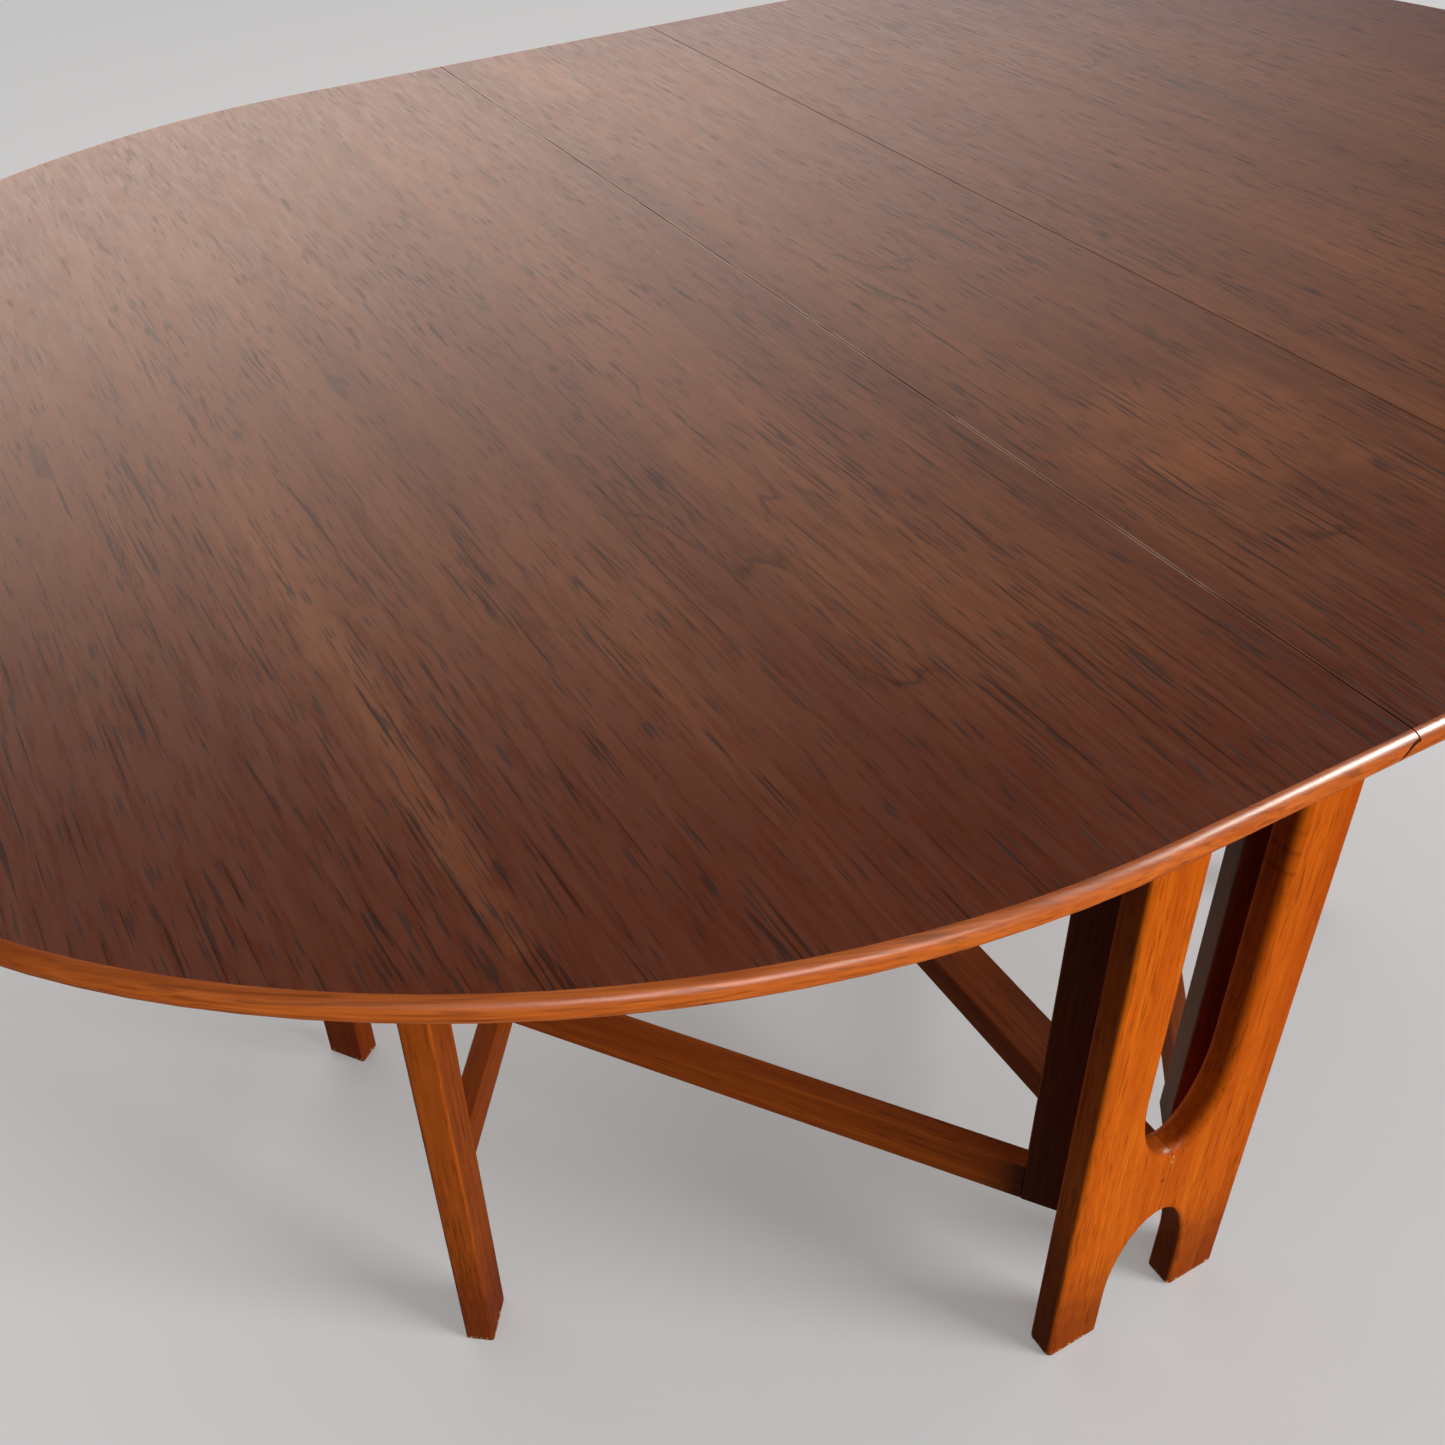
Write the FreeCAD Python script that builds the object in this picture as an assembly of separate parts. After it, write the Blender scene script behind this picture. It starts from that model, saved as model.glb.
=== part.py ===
import FreeCAD, Part
import math
import os

# Drop leaf table with an oval top. Millimetres, +Z up, origin on the floor under
# the middle of the top. X runs across the three boards of the top, Y along them.
# The front is -Y and the left is -X.

# ---------------------------------------------------------------- driving sizes
TABLE_HEIGHT = 730.0
TOP_LENGTH = 1484.0
TOP_WIDTH = 1067.0
TOP_THICKNESS = 16.0
VENEER = 0.7
CENTRE_WIDTH = 208.5

# oval outline: a straight side, then three arcs that run into each other
SHOULDER_RADIUS = 545.0
SHOULDER_SWEEP = 40.3
CORNER_RADIUS = 436.6
CORNER_SWEEP = 43.8

# solid edge lipping: round nose at the top, then an under-bevel
LIPPING_WIDTH = 12.0
NOSE_RADIUS = 6.2
BEVEL_START = 50.0

# rule joint between the fixed board and each leaf
FILLET_DEPTH = 3.0
OVOLO_RADIUS = 11.5
COVE_CLEARANCE = 1.2
SEAM_GAP = 0.8
OVOLO_STRIP = 30.0
COVE_STRIP = 66.0

# end frames, each glued up from two mirrored halves
FRAME_SETBACK = 132.8
FRAME_THICKNESS = 23.0
FRAME_HALF_WIDTH = 83.5
CUTOUT_HALF_WIDTH = 36.2
CUTOUT_BOTTOM = 202.4
CUTOUT_CURVE_HEIGHT = 88.0
ARCH_HALF_WIDTH = 36.0
ARCH_TOP = 130.0
ARCH_CURVE_HEIGHT = 80.0
OUTER_EDGE_RADIUS = 4.5
CUTOUT_FRONT_RADIUS = 9.0
CUTOUT_FRONT_STEP = 0.8
CUTOUT_REAR_RADIUS = 5.0
ARCH_EDGE_RADIUS = 3.5
FOOT_CHAMFER = 2.0

# rails that tie the two end frames together
STRETCHER_WIDTH = 41.6
STRETCHER_BOTTOM = 145.7
STRETCHER_TOP = 173.5
TOP_RAIL_INNER = 44.0
TOP_RAIL_OUTER = 62.0
TOP_RAIL_HEIGHT = 48.0
TENON_LENGTH = 12.0
TENON_SHOULDER = 4.0

# swinging gates: two under each leaf, hinged to the two end frames
GATE_AXIS_X = 58.6
GATE_AXIS_OFFSET = 3.0
GATE_OPEN_ANGLE = 37.0
GATE_REACH = 653.2
GATE_MEMBER_WIDTH = 36.6
GATE_MEMBER_THICKNESS = 22.0
GATE_RAIL_THICKNESS = 16.4
GATE_RAIL_HEIGHT = 38.0
GATE_POST_TOP = 654.0
FRONT_GATE_LOWER_RAIL = 136.2
BACK_GATE_LOWER_RAIL = 176.0
FRONT_GATE_UPPER_RAIL = 612.0
BACK_GATE_UPPER_RAIL = 570.0
LEG_TOP_CLEARANCE = 0.3
MEMBER_EDGE_RADIUS = 2.0
RAIL_EDGE_RADIUS = 1.2

# gate hinges
BUTT_HINGE_LENGTH = 60.0
HINGE_HEIGHTS = {"front": (172.0, 600.0), "back": (212.0, 600.0)}
BUTT_PLATE_WIDTH = 13.0
BUTT_PLATE_THICKNESS = 1.2
BUTT_BARREL_RADIUS = 2.8
BUTT_PIN_RADIUS = 1.25
POST_CLEARANCE = 0.2

# leaf hinges, three under each seam
LEAF_HINGE_PLACES = (-425.0, 0.0, 425.0)
LEAF_HINGE_LENGTH = 50.0
LEAF_HINGE_KNUCKLE = 16.0
LEAF_HINGE_SHORT_PLATE = 26.0
LEAF_HINGE_LONG_PLATE = 58.0
LEAF_PLATE_THICKNESS = 1.5
LEAF_BARREL_RADIUS = 3.0
LEAF_PIN_RADIUS = 1.4
BARREL_RELIEF = 0.4
PLATE_ROOT = 0.6
SWING_ROOM = 0.9
SHORT_PLATE_SCREWS = (-17.0,)
LONG_PLATE_SCREWS = (24.0, 48.0)

# fits
PIN_CLEARANCE = 0.05
KNUCKLE_GAP = 0.3

# stop blocks under the leaves
STOP_DEPTH = 14.0
STOP_LENGTH = 44.0
STOP_HEIGHT = 12.0
STOP_GAP = 0.3

# countersunk screws
SCREW_SHANK_RADIUS = 1.3
SCREW_HEAD_RADIUS = 2.7
SCREW_HEAD_DEPTH = 1.3
SCREW_LENGTH = 12.0
TOP_SCREW_SHANK_RADIUS = 2.0
TOP_SCREW_HEAD_RADIUS = 4.0
TOP_SCREW_LENGTH = 30.0
TOP_SCREW_PLACES = (-300.0, 0.0, 300.0)

# ---------------------------------------------------------------- derived sizes
TOP_Z = TABLE_HEIGHT
UNDERSIDE_Z = TABLE_HEIGHT - TOP_THICKNESS
BOARD_Z = TABLE_HEIGHT - VENEER
HALF_LENGTH = TOP_LENGTH / 2
HALF_WIDTH = TOP_WIDTH / 2
SEAM_X = CENTRE_WIDTH / 2
HINGE_Z = TOP_Z - FILLET_DEPTH - OVOLO_RADIUS
COVE_RADIUS = OVOLO_RADIUS + COVE_CLEARANCE
FRAME_FRONT_Y = -(HALF_WIDTH - FRAME_SETBACK)
FRAME_REAR_Y = FRAME_FRONT_Y + FRAME_THICKNESS
GATE_AXIS_Y = FRAME_REAR_Y + GATE_AXIS_OFFSET
STRIP_LENGTH = TOP_WIDTH - 2 * LIPPING_WIDTH
UP = FreeCAD.Vector(0, 0, 1)
X_DIR = FreeCAD.Vector(1, 0, 0)
Y_DIR = FreeCAD.Vector(0, 1, 0)
ORIGIN = FreeCAD.Vector(0, 0, 0)

# how close counts as touching, how far a cutter goes past a face, and a size
# larger than any piece that a cutter has to cover
TOUCH = 1e-6
PAST = 1.0
FAR = 500.0

parts = {}


# ---------------------------------------------------------------- small helpers
def vec(x, y, z):
    return FreeCAD.Vector(x, y, z)


def box(x0, x1, y0, y1, z0, z1):
    return Part.makeBox(x1 - x0, y1 - y0, z1 - z0, vec(x0, y0, z0))


def rod(radius, start, end):
    return Part.makeCylinder(radius, (end - start).Length, start, end - start)


def line(a, b):
    return Part.makeLine(a, b)


def arc(a, b, c):
    return Part.Arc(a, b, c).toShape()


def face_of(edges):
    return Part.Face(Part.Wire(edges))


def mirrored(shape, normal):
    return shape.mirror(ORIGIN, normal)


def at_end(shape, end):
    """A shape drawn at the front end of the table, mirrored to the back if asked."""
    return mirrored(shape, Y_DIR) if end == "back" else shape


def group(shapes):
    return Part.makeCompound(shapes)


def cut_all(shape, tools):
    for tool in tools:
        shape = shape.cut(tool)
    return shape


def cut_each(shapes, tools):
    return [cut_all(shape, tools) for shape in shapes]


def rounded(shape, radius, wanted):
    edges = [edge for edge in shape.Edges if wanted(edge)]
    return shape.makeFillet(radius, edges)


def along(edge, direction):
    if not isinstance(edge.Curve, Part.Line):
        return False
    return abs(abs(edge.Curve.Direction.dot(direction)) - 1) < TOUCH


def rounded_bar(x0, x1, y0, y1, z0, z1, direction, radius):
    """A bar with the four edges along its length rounded."""
    return rounded(box(x0, x1, y0, y1, z0, z1), radius, lambda e: along(e, direction))


def screw(head, direction, length, shank, head_radius, head_depth):
    """A countersunk screw. Its head is flush at the point head."""
    cone = Part.makeCone(head_radius, shank, head_depth, head, direction)
    axis = FreeCAD.Vector(direction)
    axis.normalize()
    return cone.fuse(rod(shank, head + axis * head_depth, head + axis * length))


def small_screw(head, direction):
    return screw(head, direction, SCREW_LENGTH, SCREW_SHANK_RADIUS,
                 SCREW_HEAD_RADIUS, SCREW_HEAD_DEPTH)


# ---------------------------------------------------------------- oval outline
def outline_arcs():
    """Centre, radius and end angles of the three arcs of the +X +Y quarter."""
    first = math.radians(SHOULDER_SWEEP)
    second = first + math.radians(CORNER_SWEEP)
    drop = SHOULDER_RADIUS * (1 - math.cos(first))
    drop += CORNER_RADIUS * (math.cos(first) - math.cos(second))
    tip_radius = (HALF_WIDTH - drop) / math.cos(second)
    reach = SHOULDER_RADIUS * math.sin(first)
    reach += CORNER_RADIUS * (math.sin(second) - math.sin(first))
    reach += tip_radius * (1 - math.sin(second))
    straight = HALF_LENGTH - reach
    centre_1 = vec(straight, HALF_WIDTH - SHOULDER_RADIUS, 0)
    step = vec(math.sin(first), math.cos(first), 0)
    centre_2 = centre_1 + step * (SHOULDER_RADIUS - CORNER_RADIUS)
    step = vec(math.sin(second), math.cos(second), 0)
    centre_3 = centre_2 + step * (CORNER_RADIUS - tip_radius)
    quarter = math.pi / 2
    arcs = [(centre_1, SHOULDER_RADIUS, quarter, quarter - first),
            (centre_2, CORNER_RADIUS, quarter - first, quarter - second),
            (centre_3, tip_radius, quarter - second, second - quarter)]
    return straight, arcs


def arc_edge(centre, radius, start, end, z, flip):
    """One arc of the outline, or its mirror image in Y."""
    points = []
    for angle in (start, (start + end) / 2, end):
        y = centre.y + radius * math.sin(angle)
        points.append(vec(centre.x + radius * math.cos(angle), y * flip, z))
    return arc(*points)


def leaf_face(inset, inner_x, z):
    """The right leaf's outline moved in by inset, closed by a line at inner_x."""
    straight, arcs = outline_arcs()
    side = HALF_WIDTH - inset
    edges = [line(vec(inner_x, side, z), vec(straight, side, z))]
    for centre, radius, start, end in arcs:
        edges.append(arc_edge(centre, radius - inset, start, end, z, 1))
    for centre, radius, start, end in arcs[1::-1]:
        edges.append(arc_edge(centre, radius - inset, end, start, z, -1))
    edges.append(line(vec(straight, -side, z), vec(inner_x, -side, z)))
    edges.append(line(vec(inner_x, -side, z), vec(inner_x, side, z)))
    return face_of(edges)


# ---------------------------------------------------------------- edge lipping
def lipping_section(edge_x):
    """The lipping's section in the XZ plane, with its nose at edge_x facing +X."""
    nose_x = edge_x - NOSE_RADIUS
    nose_z = TOP_Z - NOSE_RADIUS
    end = math.radians(BEVEL_START)
    middle = math.radians(90 - (90 + BEVEL_START) / 2)

    def on_nose(angle):
        return vec(nose_x + NOSE_RADIUS * math.cos(angle), 0,
                   nose_z + NOSE_RADIUS * math.sin(angle))

    bevel_top = on_nose(-end)
    bevel_run = (bevel_top.z - UNDERSIDE_Z) * math.tan(end)
    bevel_end = vec(bevel_top.x - bevel_run, 0, UNDERSIDE_Z)
    inner_x = edge_x - LIPPING_WIDTH
    points = [bevel_end, vec(inner_x, 0, UNDERSIDE_Z), vec(inner_x, 0, BOARD_Z),
              vec(nose_x, 0, BOARD_Z), vec(nose_x, 0, TOP_Z)]
    edges = [line(a, b) for a, b in zip(points, points[1:])]
    edges.append(arc(points[-1], on_nose(middle), bevel_top))
    edges.append(line(bevel_top, bevel_end))
    return face_of(edges)


def straight_lipping(x0, x1):
    """Lipping along the back side of the top from x0 to x1."""
    section = lipping_section(HALF_WIDTH)
    section.rotate(ORIGIN, UP, 90)
    section.translate(vec(x0, 0, 0))
    return section.extrude(vec(x1 - x0, 0, 0))


def arc_lipping(centre, radius, start, end):
    section = lipping_section(radius)
    section.rotate(ORIGIN, UP, math.degrees(end))
    section.translate(vec(centre.x, centre.y, 0))
    return section.revolve(vec(centre.x, centre.y, 0), UP, math.degrees(start - end))


def leaf_lipping():
    """Lipping round the right leaf, in one piece from seam end to seam end."""
    straight, arcs = outline_arcs()
    quarter = [straight_lipping(SEAM_X + SEAM_GAP / 2, straight)]
    for centre, radius, start, end in arcs[:2]:
        quarter.append(arc_lipping(centre, radius, start, end))
    tip = arc_lipping(*arcs[2])
    other = [mirrored(shape, Y_DIR) for shape in quarter]
    return tip.multiFuse(quarter + other)


# ---------------------------------------------------------------- rule joint
def fixed_board_envelope():
    """All the space that the fixed centre board fills, with an ovolo each side."""
    low = UNDERSIDE_Z
    ledge = HINGE_Z + OVOLO_RADIUS
    lip = SEAM_X - SEAM_GAP / 2
    outer = SEAM_X + OVOLO_RADIUS
    slant = OVOLO_RADIUS * math.sqrt(0.5)
    edges = []
    for side in (1, -1):
        points = [vec(side * outer, 0, low), vec(side * outer, 0, HINGE_Z)]
        corner = [vec(side * SEAM_X, 0, ledge), vec(side * lip, 0, ledge),
                  vec(side * lip, 0, TOP_Z)]
        middle = vec(side * (SEAM_X + slant), 0, HINGE_Z + slant)
        edges.append(line(points[0], points[1]))
        edges.append(arc(points[1], middle, corner[0]))
        edges.append(line(corner[0], corner[1]))
        edges.append(line(corner[1], corner[2]))
    edges.append(line(vec(lip, 0, TOP_Z), vec(-lip, 0, TOP_Z)))
    edges.append(line(vec(outer, 0, low), vec(-outer, 0, low)))
    face = Part.Face(Part.Wire(Part.__sortEdges__(edges)))
    face.translate(vec(0, -HALF_WIDTH, 0))
    return face.extrude(vec(0, TOP_WIDTH, 0))


def cove_cutter():
    """The round hollow in the right leaf's edge, about the leaf hinge's axis."""
    return rod(COVE_RADIUS, vec(SEAM_X, -HALF_WIDTH - PAST, HINGE_Z),
               vec(SEAM_X, HALF_WIDTH + PAST, HINGE_Z))


# ---------------------------------------------------------------- leaf hinges
def leaf_barrel(y, half, radius):
    return rod(radius, vec(SEAM_X, y - half, HINGE_Z), vec(SEAM_X, y + half, HINGE_Z))


def leaf_plate_box(y, x0, x1):
    half = LEAF_HINGE_LENGTH / 2
    return box(x0, x1, y - half, y + half, UNDERSIDE_Z, UNDERSIDE_Z + LEAF_PLATE_THICKNESS)


def short_plate_box(y):
    root = LEAF_BARREL_RADIUS + PLATE_ROOT
    return leaf_plate_box(y, SEAM_X - LEAF_HINGE_SHORT_PLATE, SEAM_X - root)


def long_plate_box(y):
    root = LEAF_BARREL_RADIUS + PLATE_ROOT
    return leaf_plate_box(y, SEAM_X + root, SEAM_X + LEAF_HINGE_LONG_PLATE)


def knuckle(y0, y1, root_x):
    """One knuckle of a leaf hinge from y0 to y1, with the tongue to its plate."""
    x0, x1 = sorted((SEAM_X, root_x))
    tongue = box(x0, x1, y0, y1, UNDERSIDE_Z, UNDERSIDE_Z + LEAF_PLATE_THICKNESS)
    half = (y1 - y0) / 2
    return tongue.fuse(leaf_barrel((y0 + y1) / 2, half, LEAF_BARREL_RADIUS))


def leaf_screws(y, places):
    """Screws up through a hinge plate, in pairs at the given distances from the seam."""
    screws = []
    for x in places:
        for offset in (-LEAF_HINGE_LENGTH / 4, LEAF_HINGE_LENGTH / 4):
            head = vec(SEAM_X + x, y + offset, UNDERSIDE_Z)
            screws.append(small_screw(head, UP))
    return screws


def short_plate(y):
    """Plate on the fixed board, with the two outer knuckles."""
    half = LEAF_HINGE_LENGTH / 2
    inner = LEAF_HINGE_KNUCKLE / 2 + KNUCKLE_GAP / 2
    root = SEAM_X - LEAF_BARREL_RADIUS - PLATE_ROOT
    plate = short_plate_box(y).multiFuse([knuckle(y - half, y - inner, root),
                                          knuckle(y + inner, y + half, root)])
    return plate.cut(leaf_barrel(y, half, LEAF_PIN_RADIUS))


def long_plate(y):
    """Plate on the leaf, with the middle knuckle."""
    inner = LEAF_HINGE_KNUCKLE / 2 - KNUCKLE_GAP / 2
    root = SEAM_X + LEAF_BARREL_RADIUS + PLATE_ROOT
    plate = long_plate_box(y).fuse(knuckle(y - inner, y + inner, root))
    return plate.cut(leaf_barrel(y, inner, LEAF_PIN_RADIUS + PIN_CLEARANCE))


def fixed_edge_reliefs(y):
    """Mortise, barrel groove and swing room under the fixed board's edge."""
    half = LEAF_HINGE_LENGTH / 2 + KNUCKLE_GAP
    groove = leaf_barrel(y, half, LEAF_BARREL_RADIUS + BARREL_RELIEF)
    swing_top = UNDERSIDE_Z + LEAF_PLATE_THICKNESS + SWING_ROOM
    swing = box(SEAM_X, SEAM_X + OVOLO_RADIUS + PAST, y - half, y + half,
                UNDERSIDE_Z - PAST, swing_top)
    tongue = leaf_plate_box(y, SEAM_X - LEAF_BARREL_RADIUS - PLATE_ROOT, SEAM_X)
    return [groove, swing, tongue, short_plate_box(y)]


def hinge_screws_fixed():
    return [s for y in LEAF_HINGE_PLACES for s in leaf_screws(y, SHORT_PLATE_SCREWS)]


def hinge_screws_leaf():
    return [s for y in LEAF_HINGE_PLACES for s in leaf_screws(y, LONG_PLATE_SCREWS)]


# ---------------------------------------------------------------- the top
def ovolo_strip(envelope):
    """Solid strip along the fixed board's right edge, shaped to the ovolo."""
    half = STRIP_LENGTH / 2
    strip = envelope.common(box(SEAM_X - OVOLO_STRIP, SEAM_X + OVOLO_RADIUS + PAST,
                                -half, half, UNDERSIDE_Z, BOARD_Z))
    for y in LEAF_HINGE_PLACES:
        strip = cut_all(strip, fixed_edge_reliefs(y))
    return cut_all(strip, hinge_screws_fixed())


def make_centre():
    envelope = fixed_board_envelope()
    inner = SEAM_X - OVOLO_STRIP
    half = STRIP_LENGTH / 2
    core = box(-inner, inner, -half, half, UNDERSIDE_Z, BOARD_Z)
    parts["centre_board_core"] = cut_all(core, top_screws())
    lip = SEAM_X - SEAM_GAP / 2
    end = HALF_WIDTH - NOSE_RADIUS
    parts["centre_board_veneer"] = box(-lip, lip, -end, end, BOARD_Z, TOP_Z)
    right = ovolo_strip(envelope)
    parts["centre_right_ovolo_strip"] = right
    parts["centre_left_ovolo_strip"] = mirrored(right, X_DIR)
    reach = SEAM_X + OVOLO_RADIUS + PAST
    lipping = straight_lipping(-reach, reach).common(envelope)
    parts["centre_back_lipping"] = lipping
    parts["centre_front_lipping"] = mirrored(lipping, Y_DIR)


def make_leaves():
    """Board, veneer, cove strip and lipping of both leaves."""
    seam = SEAM_X + SEAM_GAP / 2
    height = BOARD_Z - UNDERSIDE_Z
    core = leaf_face(LIPPING_WIDTH, seam + COVE_STRIP, UNDERSIDE_Z).extrude(UP * height)
    core = cut_all(core, stop_screws())
    veneer = leaf_face(NOSE_RADIUS, seam, BOARD_Z).extrude(UP * VENEER)
    half = STRIP_LENGTH / 2
    strip = box(seam, seam + COVE_STRIP, -half, half, UNDERSIDE_Z, BOARD_Z)
    strip = strip.cut(cove_cutter())
    strip = cut_all(strip, [long_plate_box(y) for y in LEAF_HINGE_PLACES])
    strip = cut_all(strip, hinge_screws_leaf())
    lipping = leaf_lipping().cut(cove_cutter())
    add_both_sides("leaf_core", core)
    add_both_sides("leaf_veneer", veneer)
    add_both_sides("leaf_cove_strip", strip)
    add_both_sides("leaf_lipping", lipping)


def add_both_sides(name, right):
    parts["right_" + name] = right
    parts["left_" + name] = mirrored(right, X_DIR)


def make_leaf_hinges():
    screws = hinge_screws_leaf()
    plates = [long_plate(y) for y in LEAF_HINGE_PLACES]
    fixed = [short_plate(y) for y in LEAF_HINGE_PLACES]
    half = LEAF_HINGE_LENGTH / 2
    pins = [leaf_barrel(y, half, LEAF_PIN_RADIUS) for y in LEAF_HINGE_PLACES]
    add_both_sides("leaf_hinge_long_plates", group(cut_each(plates, screws)))
    add_both_sides("leaf_hinge_short_plates", group(cut_each(fixed, hinge_screws_fixed())))
    add_both_sides("leaf_hinge_pins", group(pins))
    add_both_sides("leaf_screws", group(screws + stop_screws()))


# ---------------------------------------------------------------- end frames
def half_ellipse(half_width, height, base_z, upward):
    """Edge from -half_width to +half_width whose middle is height off base_z."""
    turn = 1 if upward else -1
    ellipse = Part.Ellipse(vec(0, 0, base_z + turn * height), vec(half_width, 0, base_z),
                           vec(0, 0, base_z))
    edge = ellipse.toShape()
    low, high = (base_z, base_z + FAR) if upward else (base_z - FAR, base_z)
    return edge.common(box(-FAR, FAR, -PAST, PAST, low, high)).Edges


def frame_face():
    """Front face of an end frame: straight sides, a deep cut-out and a foot arch."""
    top = UNDERSIDE_Z
    cut_z = CUTOUT_BOTTOM + CUTOUT_CURVE_HEIGHT
    arch_z = ARCH_TOP - ARCH_CURVE_HEIGHT
    edges = []
    for side in (1, -1):
        outer = side * FRAME_HALF_WIDTH
        cut = side * CUTOUT_HALF_WIDTH
        arch = side * ARCH_HALF_WIDTH
        points = [vec(cut, 0, cut_z), vec(cut, 0, top), vec(outer, 0, top),
                  vec(outer, 0, 0), vec(arch, 0, 0), vec(arch, 0, arch_z)]
        edges += [line(a, b) for a, b in zip(points, points[1:])]
    edges += half_ellipse(CUTOUT_HALF_WIDTH, CUTOUT_CURVE_HEIGHT, cut_z, False)
    edges += half_ellipse(ARCH_HALF_WIDTH, ARCH_CURVE_HEIGHT, arch_z, True)
    return Part.Face(Part.Wire(Part.__sortEdges__(edges)))


def frame_blank(front):
    """A whole end frame before its edges are rounded, from front to FRAME_REAR_Y."""
    face = frame_face()
    face.translate(vec(0, front, 0))
    return face.extrude(vec(0, FRAME_REAR_Y - front, 0))


def on_face(edge, y):
    return all(abs(v.Y - y) < TOUCH for v in edge.Vertexes)


def inside_width(edge, limit):
    return abs(edge.CenterOfMass.x) < limit


def in_cutout(edge):
    high = CUTOUT_BOTTOM - PAST < edge.CenterOfMass.z < UNDERSIDE_Z - PAST
    return high and inside_width(edge, CUTOUT_HALF_WIDTH + PAST)


def in_arch(edge):
    low = PAST < edge.CenterOfMass.z < ARCH_TOP + PAST
    return low and inside_width(edge, ARCH_HALF_WIDTH + PAST)


def on_side(edge):
    return abs(abs(edge.CenterOfMass.x) - FRAME_HALF_WIDTH) < TOUCH


def shaped_frame():
    """An end frame with its edges rounded. The cut-out's front edge keeps an arris."""
    front = FRAME_FRONT_Y
    rear = FRAME_REAR_Y
    raised = front - CUTOUT_FRONT_STEP
    frame = frame_blank(raised)
    frame = rounded(frame, CUTOUT_FRONT_RADIUS, lambda e: on_face(e, raised) and in_cutout(e))
    wide = FRAME_HALF_WIDTH + PAST
    frame = frame.common(box(-wide, wide, front, rear, 0, UNDERSIDE_Z))
    frame = rounded(frame, CUTOUT_REAR_RADIUS, lambda e: on_face(e, rear) and in_cutout(e))
    frame = rounded(frame, ARCH_EDGE_RADIUS, lambda e: on_face(e, front) and in_arch(e))
    frame = rounded(frame, ARCH_EDGE_RADIUS, lambda e: on_face(e, rear) and in_arch(e))
    frame = rounded(frame, OUTER_EDGE_RADIUS, lambda e: on_face(e, front) and on_side(e))
    frame = rounded(frame, OUTER_EDGE_RADIUS, lambda e: on_face(e, rear) and on_side(e))
    bottom = [e for e in frame.Edges if all(abs(v.Z) < TOUCH for v in e.Vertexes)]
    return frame.makeChamfer(FOOT_CHAMFER, bottom)


def stretcher_tenon():
    half = STRETCHER_WIDTH / 2 - TENON_SHOULDER
    return box(-half, half, FRAME_REAR_Y - TENON_LENGTH, FRAME_REAR_Y,
               STRETCHER_BOTTOM + TENON_SHOULDER, STRETCHER_TOP - TENON_SHOULDER)


def top_rail_tenon():
    return box(TOP_RAIL_INNER + TENON_SHOULDER, TOP_RAIL_OUTER - TENON_SHOULDER,
               FRAME_REAR_Y - TENON_LENGTH, FRAME_REAR_Y,
               UNDERSIDE_Z - TOP_RAIL_HEIGHT + TENON_SHOULDER, UNDERSIDE_Z - TENON_SHOULDER)


def make_end_frames():
    frame = shaped_frame()
    tools = [stretcher_tenon(), top_rail_tenon(), mirrored(top_rail_tenon(), X_DIR)]
    frame = cut_all(frame, tools)
    wide = FRAME_HALF_WIDTH + PAST
    spans = {"left": (-wide, 0), "right": (0, wide)}
    for end in HINGE_HEIGHTS:
        drilled = cut_all(frame, frame_hinge_screws(end))
        for side, (x0, x1) in spans.items():
            block = box(x0, x1, FRAME_FRONT_Y - PAST, FRAME_REAR_Y + PAST, -PAST, TOP_Z)
            parts[end + "_frame_" + side + "_half"] = at_end(drilled.common(block), end)


def make_rails():
    """The bottom stretcher and the two rails that carry the fixed board."""
    half = STRETCHER_WIDTH / 2
    end = -FRAME_REAR_Y
    bar = rounded_bar(-half, half, -end, end, STRETCHER_BOTTOM, STRETCHER_TOP,
                      Y_DIR, MEMBER_EDGE_RADIUS)
    tenon = stretcher_tenon()
    parts["bottom_stretcher"] = bar.multiFuse([tenon, mirrored(tenon, Y_DIR)])
    rail = box(TOP_RAIL_INNER, TOP_RAIL_OUTER, -end, end,
               UNDERSIDE_Z - TOP_RAIL_HEIGHT, UNDERSIDE_Z)
    tenon = top_rail_tenon()
    rail = rail.multiFuse([tenon, mirrored(tenon, Y_DIR)])
    add_both_sides("top_rail", cut_all(rail, top_screws() + top_screw_bores()))


# ---------------------------------------------------------------- top fixing screws
def top_screw_points():
    x = (TOP_RAIL_INNER + TOP_RAIL_OUTER) / 2
    z = UNDERSIDE_Z - TOP_SCREW_LENGTH + SCREW_LENGTH
    return [vec(side * x, y, z) for side in (1, -1) for y in TOP_SCREW_PLACES]


def top_screws():
    """Screws up through the top rails into the fixed board."""
    screws = []
    for point in top_screw_points():
        screws.append(screw(point, UP, TOP_SCREW_LENGTH, TOP_SCREW_SHANK_RADIUS,
                            TOP_SCREW_HEAD_RADIUS, TOP_SCREW_HEAD_RADIUS / 2))
    return screws


def top_screw_bores():
    """Counterbores that the top fixing screws go up through."""
    bottom = UNDERSIDE_Z - TOP_RAIL_HEIGHT - PAST
    bores = []
    for point in top_screw_points():
        bores.append(rod(TOP_SCREW_HEAD_RADIUS, vec(point.x, point.y, bottom), point))
    return bores


# ---------------------------------------------------------------- gates
# A gate is drawn in its own axes and then turned into place. u runs from the
# hinge axis along the gate, n runs from the gate's outer face towards the middle
# of the table, and the drawing puts u along Y and n along X.
def place_gate(shape, side, end):
    """Turn a front left gate's shape to its open angle, then mirror it if needed."""
    shape = shape.copy()
    shape.rotate(ORIGIN, UP, GATE_OPEN_ANGLE)
    shape.translate(vec(-GATE_AXIS_X, GATE_AXIS_Y, 0))
    if side == "right":
        shape = mirrored(shape, X_DIR)
    return at_end(shape, end)


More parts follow.
